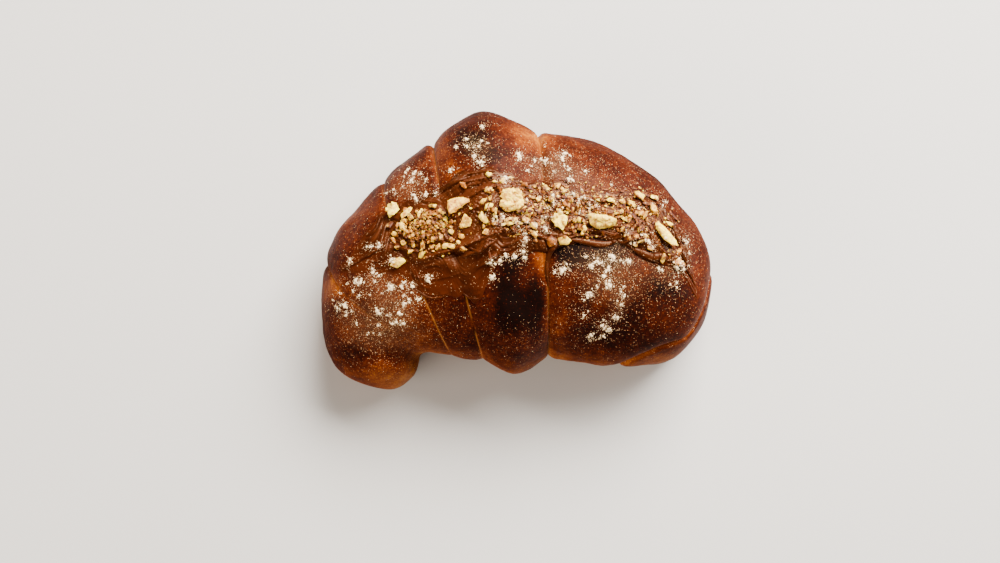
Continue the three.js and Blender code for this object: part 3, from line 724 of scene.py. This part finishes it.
nuts = {
    # beds of chopped pieces: ribs from and to, low and high share of the width, count, sizes
    "beds": [
        (2.2, 4.4, 0.4, 0.88, 40, 2.8, 5.6),
        (4.95, 6.6, 0.45, 0.94, 26, 2.8, 5.8),
        (6.6, 11.0, 0.1, 0.92, 44, 2.8, 6.0),
    ],
    "shape": (1, 0.78, 0.62), "sunk": 0.3, "spacing": 0.72,
    # heaps of crumbs: centre, reach, count, largest crumb, how high they heap
    "crumbs": [
        (-37, 6, 8.5, 4.6, 80, 3.0, 1.6), (-31, 10.5, 8, 4.4, 80, 3.0, 1.8), (-34, 8.5, 9, 6, 420, 1.5, 3.0),
        (-31, -1, 6, 3, 30, 2.2, 0.4), (-21, 15, 5, 4, 16, 1.8, 0.3), (-3, 18, 10, 8, 70, 2.2, 0.9),
        (-2, 8, 11, 3.5, 40, 2.4, 0.5), (12, 18, 11, 7, 110, 2.4, 0.6), (28, 15, 15, 7, 120, 2.6, 0.6),
        (45, 12, 12, 8, 120, 2.4, 0.5), (57, 7, 6, 10, 46, 2.0, 0.2), (30, 22, 20, 4, 70, 1.5, 0.1),
        (28, 14, 20, 8, 150, 1.1, 0.6), (22, 6, 15, 3.5, 40, 1.8, 0.2), (-20, 12, 10, 8, 24, 1.6, 0.2),
    ],
    # single chips: middle, length, width, thickness, turn
    "chips": [
        (-41, 13.5, 8, 3.8, 2.4, 52), (-36, 13.4, 6, 3, 2.2, 70), (-11.2, 16.3, 5, 4.4, 2.6, 30),
        (-7.6, 14, 3.4, 2.4, 2, 80), (-1.8, 9.9, 6, 4, 2.6, 20), (3.4, 13.4, 6, 4.6, 2.4, -30),
        (45.6, 20.1, 5.4, 4.6, 3, -50), (52, 19.4, 6.4, 3, 2.4, 25), (58, 9.2, 5, 3, 2.2, -40),
        (46.5, 3.6, 5, 1.8, 1.6, 30), (24.5, 7, 5.6, 2.4, 2, 55), (40, 11, 9, 1.7, 1.6, -52),
        (48, 13, 4.4, 2.4, 2, 60), (29, 11.5, 5, 3.4, 2.4, 10), (20, 15, 4.4, 3, 2.2, -20),
        (35, 18, 4.6, 3, 2, 15), (-43, 8, 4.6, 3, 2.2, -30), (-27, 1.6, 4, 2.4, 2, 25),
    ],
    # the large pieces: CAD node, size, turn in degrees, corners, lumps, how far it bends, its groove,
    # and how brown it is
    "large": [
        ("hazelnut_half", (11.5, 10.5, 5.2), 20, 16, 11, 0.0, 0.0, 0.14),
        ("hazelnut_slice_middle", (11, 6.4, 3.8), -12, 26, 1, 0.14, 0.6, 0.1),
        ("hazelnut_slice_right", (12, 5.4, 3.4), -58, 26, 0, 0.1, 0.5, 0.02),
        ("hazelnut_chunk_middle", (8, 7.2, 4.6), 75, 12, 5, 0.0, 0.0, 0.04),
        ("hazelnut_flake_left", (9.6, 5.4, 2.6), 34, 20, 1, -0.26, 0.4, 0.36),
        ("hazelnut_chunk_left", (6.6, 5.8, 4.2), -20, 10, 2, 0.0, 0.0, 0.0),
        ("hazelnut_flake_inner", (7, 5.4, 2.8), 55, 9, 1, 0.0, 0.2, 0.26),
        ("hazelnut_flake_front", (7, 4, 2.2), 18, 18, 0, 0.0, 0.0, 0.12),
    ],
}


def seeded(seed):  # Park and Miller's generator, the one that placed the solids
    state = seed
    while True:
        state = state * 16807 % 2147483647
        yield state / 2147483647


def scatterNuts():
    draw = seeded(2024)
    placed = []
    keptFree = []
    for node, size, *_ in nuts["large"]:
        low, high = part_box(node)
        keptFree.append(((low[0] + high[0]) / 2 / mm, (low[1] + high[1]) / 2 / mm, max(size) / 2))
    for start, end, low, high, count, smallest, largest in nuts["beds"]:
        left, tries = count, 0
        while tries < 40 * count and left > 0:
            tries += 1
            place = start + (end - start) * next(draw)
            share = low + (high - low) * next(draw)
            length = smallest + (largest - smallest) * next(draw) ** 1.2
            x, y = spreadPlan(np.array([place]), np.array([share]))[0]
            onLarge = any(math.hypot(a - x, b - y) < reach + length / 2 for a, b, reach in keptFree)
            crowded = any(math.hypot(a - x, b - y) < nuts["spacing"] * (other + length) / 2
                          for a, b, other, *_ in placed)
            if onLarge or crowded:
                continue
            placed.append((x, y, length, 2 * math.pi * next(draw), 0.5 * (next(draw) - 0.5)))
            left -= 1
    return placed


def hullLump(bm, rng, centre, size, corners):  # a rough chunk: the hull of points round an ellipsoid
    verts = []
    for i in range(corners):
        height = 1 - 2 * (i + 0.5) / corners
        turn = i * math.pi * (3 - math.sqrt(5)) + rng.uniform(-0.3, 0.3)
        radius = 0.5 * rng.uniform(0.7, 1.22)
        flat = math.sqrt(1 - height**2) * radius
        verts.append(bm.verts.new((centre[0] + size[0] * flat * math.cos(turn),
                                   centre[1] + size[1] * flat * math.sin(turn),
                                   centre[2] + size[2] * height * radius)))
    made = bmesh.ops.convex_hull(bm, input=verts)
    spare = [v for v in made["geom_interior"] if isinstance(v, bmesh.types.BMVert)]
    bmesh.ops.delete(bm, geom=spare, context="VERTS")


def worn(bm, voxel, rounds):  # joins the lumps and rounds their edges; returns a triangulated bmesh
    mesh = bpy.data.meshes.new("rough")
    bm.to_mesh(mesh)
    bm.free()
    rough = addObject("rough", mesh)
    remesh = rough.modifiers.new("join", "REMESH")
    remesh.mode = "VOXEL"
    remesh.voxel_size = voxel
    soften = rough.modifiers.new("soften", "SMOOTH")
    soften.factor = 0.5
    soften.iterations = rounds
    done = bmesh.new()
    done.from_mesh(rough.evaluated_get(bpy.context.evaluated_depsgraph_get()).to_mesh())
    bpy.data.objects.remove(rough)
    bpy.data.meshes.remove(mesh)
    bmesh.ops.triangulate(done, faces=done.faces)
    return done


def chipped(bm, size, grain, seed):  # gives a surface the broken, granular face of a kernel
    bm.normal_update()
    for v in bm.verts:
        here = v.co / size + Vector((seed, 0, 0))
        v.co += v.normal * grain * (noise.noise(here) + 0.5 * noise.noise(here * 2.3))


def shard(rng, corners, slim, thin, cuts=2):  # an angular broken piece, a unit long, its edges worn
    bm = bmesh.new()
    hullLump(bm, rng, (0, 0, 0), (1, nuts["shape"][1] * slim, nuts["shape"][2] * thin), corners)
    if cuts:
        bmesh.ops.bevel(bm, geom=bm.edges[:], offset=0.025, segments=1, affect="EDGES", profile=0.5,
                        material=-1, clamp_overlap=True)
        bmesh.ops.triangulate(bm, faces=bm.faces)
        bmesh.ops.subdivide_edges(bm, edges=bm.edges[:], cuts=cuts, use_grid_fill=True)
        chipped(bm, 0.16, 0.045, rng.uniform(0, 50))
        bend = rng.uniform(-0.35, 0.35)
        for v in bm.verts:
            v.co.y += bend * v.co.x**2
    bmesh.ops.triangulate(bm, faces=bm.faces)
    bmesh.ops.recalc_face_normals(bm, faces=bm.faces)
    coords = np.array([v.co for v in bm.verts])
    faces = np.array([[v.index for v in f.verts] for f in bm.faces])
    bm.free()
    return coords, faces


def copiesOf(name, prototypes, placements, crisp=False):  # many copies: prototype, matrix, tone, stain
    coords, faces, tones, stains = [], [], [], []
    count = 0
    for kind, matrix, tone, stain in placements:
        base, triangles = prototypes[kind]
        turned = base @ np.array(matrix.to_3x3()).T + np.array(matrix.translation)
        coords.append(turned)
        faces.append(triangles + count)
        tones.append(np.full(len(base), tone))
        stains.append(stain(base, turned))
        count += len(base)
    mesh = bpy.data.meshes.new(name)
    mesh.from_pydata(np.concatenate(coords) * mm, [], np.concatenate(faces))
    if not crisp:
        mesh.shade_smooth()
    made = addObject(name, mesh)
    addAttribute(made, "tone", np.concatenate(tones))
    addAttribute(made, "stain", np.concatenate(stains))
    return made


def laid(point, normal, turn, size, tilt=0.0, lift=0.0):  # matrix of a copy that lies on a surface
    where = Matrix.Translation(Vector(point) + normal * lift)
    turned = where @ facing(normal).to_4x4() @ Matrix.Rotation(turn, 4, "Z")
    return turned @ Matrix.Rotation(tilt, 4, "Y") @ Matrix.Diagonal((size, size, size, 1))


def sunkStain(rng, floor, depth):  # how far up the spread has coated a piece, from its underside
    wobble = rng.uniform(0, 40)
    def stain(base, turned):
        height = base[:, 2] - base[:, 2].min()
        patchy = np.array([noise.noise(Vector(p) * 3 + Vector((wobble, 0, 0))) for p in base])
        return np.clip(1 - smooth(floor, floor + depth, height + 0.25 * patchy), 0, 1)
    return stain


def makeChopped(spreadTree):
    rng = np.random.default_rng(12)
    prototypes = [shard(rng, int(rng.integers(8, 11)), rng.uniform(0.7, 1.1), rng.uniform(0.55, 1.1))
                  for _ in range(14)]
    placements = []
    for x, y, length, turn, tilt in scatterNuts():
        point, normal = landOn(spreadTree, x, y)
        lift = (0.5 - nuts["sunk"]) * nuts["shape"][2] * length
        placements.append((pick(rng, prototypes), laid(point, normal, turn, length, tilt, lift),
                           rng.beta(1.3, 2.4), sunkStain(rng, rng.uniform(0.0, 0.25), 0.2)))
    for x, y, length, width, thick, turn in nuts["chips"]:
        point, normal = landOn(spreadTree, x, y)
        shape = Matrix.Diagonal((length, width / nuts["shape"][1], thick / nuts["shape"][2], 1))
        place = laid(point, normal, math.radians(turn), 1, rng.uniform(-0.15, 0.15), 0.4 * thick)
        placements.append((pick(rng, prototypes), place @ shape,
                           rng.uniform(0, 0.25), sunkStain(rng, 0.0, 0.15)))
    return copiesOf("choppedHazelnuts", prototypes, placements)


def makeCrumbs(tree):
    rng = np.random.default_rng(31)
    prototypes = [shard(rng, 8, rng.uniform(0.7, 1.1), rng.uniform(0.6, 1.2), 0) for _ in range(12)]
    placements = []
    for cx, cy, rx, ry, count, largest, heap in nuts["crumbs"]:
        for _ in range(count):
            turn, out = rng.uniform(0, 2 * math.pi), rng.random() ** 0.6
            x, y = cx + rx * out * math.cos(turn), cy + ry * out * math.sin(turn)
            point, normal = landOn(tree, x, y)
            if point is None:
                continue
            length = (0.6 + (largest - 0.6) * rng.random() ** 1.3) * (1.1 - 0.3 * out)
            pile = heap * (1 - out**2) * rng.random()
            place = laid(point, normal, rng.uniform(0, 6.3), length, rng.uniform(-0.8, 0.8),
                         pile + 0.15 * length)
            placements.append((pick(rng, prototypes), place, rng.beta(1.9, 1.8) + (0.14 if heap > 1 else 0),
                               sunkStain(rng, rng.uniform(-0.2, 0.3), 0.25)))
    return copiesOf("hazelnutCrumbs", prototypes, placements, crisp=True)


def makeLargeNut(index, node, size, turn, corners, lumps, bend, groove, tone):
    rng = np.random.default_rng(70 + index)
    low, high = [np.array(corner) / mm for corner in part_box(node)]
    bm = bmesh.new()
    flatter = 0.72 if lumps > 2 else 1
    hullLump(bm, rng, (0, 0, 0), (size[0], size[1], size[2] * flatter), corners)
    for k in range(lumps):
        way = 2 * math.pi * (k + rng.uniform(0, 0.5)) / max(lumps, 1)
        reach = rng.uniform(0.1, 0.34)
        share = rng.uniform(0.26, 0.48)
        hullLump(bm, rng, (size[0] * reach * math.cos(way), size[1] * reach * math.sin(way), size[2] * 0.22),
                 (size[0] * share, size[1] * share, size[2] * 0.62), 9)
    done = worn(bm, 0.17, 1)
    for v in done.verts:
        x, y, z = v.co
        v.co.y += bend * x * x / size[0] * 2
        dent = groove * math.exp(-((y / (0.16 * size[1])) ** 2))
        dent *= 1 - min(abs(x) / (0.42 * size[0]), 1) ** 2
        v.co.z -= dent if z > 0 else 0
    chipped(done, 1.1, 0.14, index * 3.7)
    chipped(done, 0.5, 0.06, index * 1.3)
    around = Matrix.Rotation(math.radians(turn), 3, "Z")
    bmesh.ops.rotate(done, verts=done.verts, cent=(0, 0, 0), matrix=around)
    return done, (low + high) / 2


def makeLargeNuts(tree):
    made = []
    for index, (node, *shape) in enumerate(nuts["large"]):
        done, middle = makeLargeNut(index, node, *shape)
        size = shape[0]
        point, normal = landOn(tree, middle[0], middle[1])
        bmesh.ops.rotate(done, verts=done.verts, cent=(0, 0, 0), matrix=facing(normal))
        coords = np.array([v.co for v in done.verts])
        room = min(p[2] - landOn(tree, middle[0] + p[0], middle[1] + p[1])[0][2] for p in coords if p[2] < 0)
        settle = 0.35 * size[2] * 0.4
        coords += (middle[0], middle[1], -room - settle)
        name = "".join(word.capitalize() if i else word for i, word in enumerate(node.split("_")))
        piece = toObject(done, name, coords)
        depth = np.array([p[2] - landOn(tree, p[0], p[1])[0][2] for p in coords])
        addAttribute(piece, "tone", np.full(len(coords), shape[-1]))
        addAttribute(piece, "stain", np.clip(1 - smooth(0.1, 0.9, depth), 0, 1) * 0.8)
        made.append(piece)
    return made


skins = {
    # strips and curls of nut skin: middle, length, width, turn in degrees, how far it curls
    "strips": [(6, 17, 11, 1.7, -62, 0.5), (17, 25.6, 7, 1.6, -24, 0.9), (60, 13, 5, 2.2, -60, 0.6),
               (49, 21, 4, 2.2, -30, 0.5), (43, 12, 7, 1.3, -50, 0.7), (27, 19, 4, 2, 20, 0.6)],
    "flakes": 170, "flakeFrom": (-8, 6), "flakeTo": (60, 24), "thick": 0.22,
}


def curledStrip(bm, length, width, curl, phase):  # a thin leaf, bent across its width and ragged at its rim
    made = bmesh.ops.create_grid(bm, x_segments=9, y_segments=4, size=0.5)["verts"]
    for v in made:
        x, y = v.co.x, v.co.y
        ragged = 1 - 0.5 * abs(2 * x) ** 2.5 + 0.2 * noise.noise(Vector((x * 6, 0, phase)))
        angle = y * 3.2 * curl
        radius = width / (3.2 * curl)
        v.co = (x * length, radius * math.sin(angle) * ragged + 0.08 * length * math.cos(x * 3 + phase),
                radius * (math.cos(angle) - 1) + width * 0.3)
    return made


def makeSkins(tree):
    rng = np.random.default_rng(44)
    bm = bmesh.new()
    leaves = [(*strip, 0.0) for strip in skins["strips"]]
    (x0, y0), (x1, y1) = skins["flakeFrom"], skins["flakeTo"]
    for _ in range(skins["flakes"]):
        x = rng.uniform(x0, x1)
        y = rng.uniform(y0, y1) - 0.14 * max(x - 30, 0)
        leaves.append((x, y, rng.uniform(1.2, 3.2), rng.uniform(0.8, 1.8), rng.uniform(0, 360),
                       rng.uniform(0.2, 0.9), 0.1))
    for x, y, length, width, turn, curl, lift in leaves:
        made = curledStrip(bm, length, width, curl, rng.uniform(0, 30))
        point, normal = landOn(tree, x, y)
        matrix = laid(point, normal, math.radians(turn), 1, rng.uniform(-0.25, 0.25), lift)
        bmesh.ops.transform(bm, matrix=matrix, verts=made)
    bmesh.ops.solidify(bm, geom=bm.faces[:], thickness=skins["thick"])
    return toObject(bm, "hazelnutSkins", np.array([v.co for v in bm.verts]))


# icing sugar grains

def lump(rng, fineness, rough):  # a fluffy unit ball
    bm = bmesh.new()
    bmesh.ops.create_icosphere(bm, subdivisions=fineness, radius=0.5)
    bm.normal_update()
    shift = Vector((rng.uniform(0, 40), 0, 0))
    for v in bm.verts:
        v.co *= 1 + rough * (noise.noise(v.co * 3 + shift) + 0.7 * noise.noise(v.co * 8 + shift))
    done = np.array([v.co for v in bm.verts]), np.array([[v.index for v in f.verts] for f in bm.faces])
    bm.free()
    return done


def makeSugar(tree):
    rng = np.random.default_rng(5)
    grains = [lump(rng, 1, 0.3) for _ in range(4)]
    cores = [lump(rng, 3, 0.22) for _ in range(6)]

    def grainAt(kind, x, y, size, flat=1.0):
        point, normal = landOn(tree, x, y)
        if point is None or normal.z < sugar["steepest"]:
            return None
        wide, deep, high = rng.uniform(0.7, 1.2), rng.uniform(0.7, 1.2), rng.uniform(0.6, 1.1) * flat
        tilt = rng.uniform(0, 3) if flat == 1 else 0
        place = laid(point, normal, rng.uniform(0, 6.3), size, tilt, 0.2 * size * flat)
        return (kind, place @ Matrix.Diagonal((wide, deep, high, 1)), 0,
                lambda base, turned: np.zeros(len(base)))

    clumps, loose = [], []
    near, far = sugar["clumpsStray"], sugar["grainsStray"]
    for cx, cy, rx, ry, count, top in sugar["drifts"]:
        for _ in range(count):
            x, y = cx + rx * rng.normal() * near, cy + ry * rng.normal() * near
            radius = top * 0.5 * rng.uniform(0.25, 1)
            clumps.append(grainAt(pick(rng, cores), x, y, radius * rng.uniform(1.0, 1.35), 0.75))
            amount = (radius / 1.2) ** 1.5
            for _ in range(int(7 * amount)):
                dx, dy = rng.normal(size=2) * 0.7 * radius
                clumps.append(grainAt(pick(rng, cores), x + dx, y + dy,
                                      rng.uniform(0.3, 0.55 + 0.3 * radius), 0.7))
            for _ in range(int(9 + 26 * amount)):
                dx, dy = rng.normal(size=2) * 0.9 * radius * (2.0 if rng.random() < 0.25 else 1)
                loose.append(grainAt(pick(rng, grains), x + dx, y + dy, rng.uniform(*sugar["grain"])))
        for _ in range(int(8 * count)):
            x, y = cx + rx * rng.normal() * far, cy + ry * rng.normal() * far
            loose.append(grainAt(pick(rng, grains), x, y, rng.uniform(*sugar["driftGrain"])))
    low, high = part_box("brioche")
    spilled = len(loose)
    while len(loose) < sugar["loose"] + spilled:
        x, y = rng.uniform(low[0], high[0]) / mm, rng.uniform(low[1], high[1]) / mm
        loose.append(grainAt(pick(rng, grains), x, y, 0.12 + 0.14 * rng.random() ** 2))
    clumps = [place for place in clumps if place]
    loose = [place for place in loose if place]
    return copiesOf("sugarClumps", cores, clumps), copiesOf("sugarGrains", grains, loose)


# building it

crust = makeDough()
dress(crust, bakedCrust(), "crust", "brioche")
print("crust", len(crust.data.polygons))
chocolate = makeSpread(treeOf(crust))
dress(chocolate, hazelnutChocolate(), "spread", "hazelnut_spread")
curls = makeCurls(treeOf(crust, chocolate))
dress(curls, chocolate.data.materials[0], "spread", "hazelnut_spread")
print("spread", len(chocolate.data.polygons), len(curls.data.polygons))
flesh = nutFlesh()
bedTree = treeOf(crust, chocolate, curls)
chopped = dress(makeChopped(bedTree), flesh, "hazelnut", "hazelnut_spread")
large = makeLargeNuts(bedTree)
for piece, (node, *_) in zip(large, nuts["large"]):
    dress(piece, flesh, "hazelnut", node)
crumbs = dress(makeCrumbs(treeOf(crust, chocolate, curls, chopped)), flesh, "hazelnut", "hazelnut_spread")
husks = dress(makeSkins(treeOf(crust, chocolate, chopped, crumbs)), nutSkin(), "hazelnut")
print("nuts", len(chopped.data.polygons), len(crumbs.data.polygons))
looks = icingSugar("icingSugarClumps", "#f0d5a8"), icingSugar("icingSugarGrains", "#e2be90")
for piece, look in zip(makeSugar(treeOf(crust, chocolate, curls, chopped, crumbs, husks, *large)), looks):
    dress(piece, look, "crust")
    print(piece.name, len(piece.data.polygons))


# the floor, the light and the camera

studio = {
    "camera": (-6.3, -12.05, 620), "lens": 54.5, "sensor": 36, "clip": (0.05, 10),
    "floor": 3, "below": 0.0003,  # half the floor's side and its depth under the object, in metres
    # lamps, in metres: size, watts, colour, place, and whether it shows in the sheen
    "lamps": {
        "window": ((0.9, 0.6), 93, "#fff9f2", (0.4, 0.76, 0.78), True),
        "brightWall": ((1.4, 0.5), 26, "#ffffff", (0.95, 0.6, 0.2), True),
        "fill": ((1.3, 0.7), 26, "#ffeedd", (-0.9, -0.7, 0.5), False),
    },
    "aim": (0, 0, 0.03), "room": "#f0ece6", "roomStrength": 0.2,
}


def paleFloor():
    # Plain pale studio card.
    m = newMaterial("paleStudioCard")
    return finishMaterial(m, addNode(m, "BsdfPrincipled", {"Base Color": "#c2c0bc", "Roughness": 0.8}))


bm = bmesh.new()
bmesh.ops.create_grid(bm, x_segments=1, y_segments=1, size=studio["floor"])
bmesh.ops.translate(bm, verts=bm.verts, vec=(0, 0, -studio["below"]))
floor = toObject(bm, "floor")
floor.data.materials.append(paleFloor())
floor.visible_glossy = False


def addLight(name, size, watts, colour, place, inSheen):
    lamp = bpy.data.lights.new(name, "AREA")
    lamp.shape = "RECTANGLE"
    lamp.size, lamp.size_y = size
    lamp.energy = watts
    lamp.color = toLinear(colour)[:3]
    made = addObject(name, lamp)
    made.location = place
    made.rotation_euler = (Vector(studio["aim"]) - Vector(place)).to_track_quat("-Z", "Y").to_euler()
    made.visible_glossy = inSheen


for name, lamp in studio["lamps"].items():
    addLight(name, *lamp)
world = bpy.data.worlds.new("room")
world.use_nodes = True
background = world.node_tree.nodes["Background"].inputs
background["Color"].default_value = toLinear(studio["room"])
background["Strength"].default_value = studio["roomStrength"]
bpy.context.scene.world = world
world.cycles_visibility.glossy = False

camera = addObject("camera", bpy.data.cameras.new("camera"))
camera.data.lens = studio["lens"]
camera.data.sensor_width = studio["sensor"]
camera.data.clip_start, camera.data.clip_end = studio["clip"]
camera.location = Vector(studio["camera"]) * mm
bpy.context.scene.camera = camera
